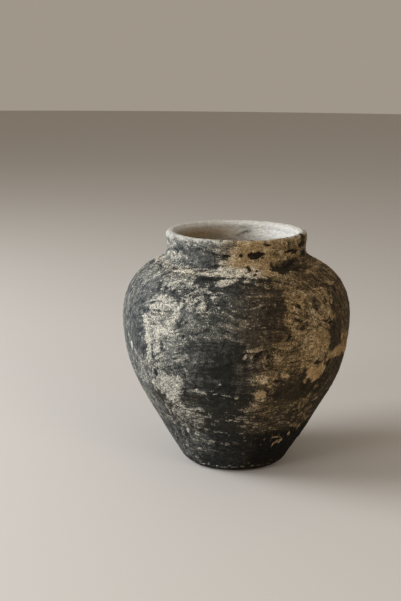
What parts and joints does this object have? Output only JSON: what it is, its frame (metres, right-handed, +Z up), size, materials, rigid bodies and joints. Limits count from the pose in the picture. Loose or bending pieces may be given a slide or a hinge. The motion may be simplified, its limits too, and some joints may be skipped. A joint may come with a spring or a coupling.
{
  "type": "clay pot",
  "caption": "Round-bodied black clay pot with a narrow flat foot, a high wide belly, a short upright neck and a thick rounded lip; open at the top.",
  "frame": {"origin": "centre of the flat bottom that the pot stands on", "axes": "+Z up along the pot's axis, -Y towards the side the picture shows, +X to the right of that view"},
  "size_m": [0.2802, 0.2802, 0.29],
  "materials": {
    "fired_clay_base": "matte blue-black fired clay with pale specks and a worn foot edge",
    "fired_clay_lower": "matte dark fired clay, smoke-black with a thin broken lime and mud wash",
    "fired_clay_body": "matte dark fired clay with wipe marks, pitting and patches of grey-cream and ochre mud wash",
    "fired_clay_neck": "matte fired clay under a chipped tan mud coat, charcoal where it has worn off",
    "fired_clay_lip": "matte pale grey lime-washed lip over dark clay"
  },
  "bodies": {
    "root": {"base_slab": "fired_clay_base", "foot_course": "fired_clay_lower", "lower_wall_course": "fired_clay_lower", "belly_course": "fired_clay_body", "upper_belly_course": "fired_clay_body", "lower_shoulder_course": "fired_clay_body", "upper_shoulder_course": "fired_clay_body", "neck_collar": "fired_clay_neck", "rim_coil": "fired_clay_lip"}
  },
  "joints": []
}
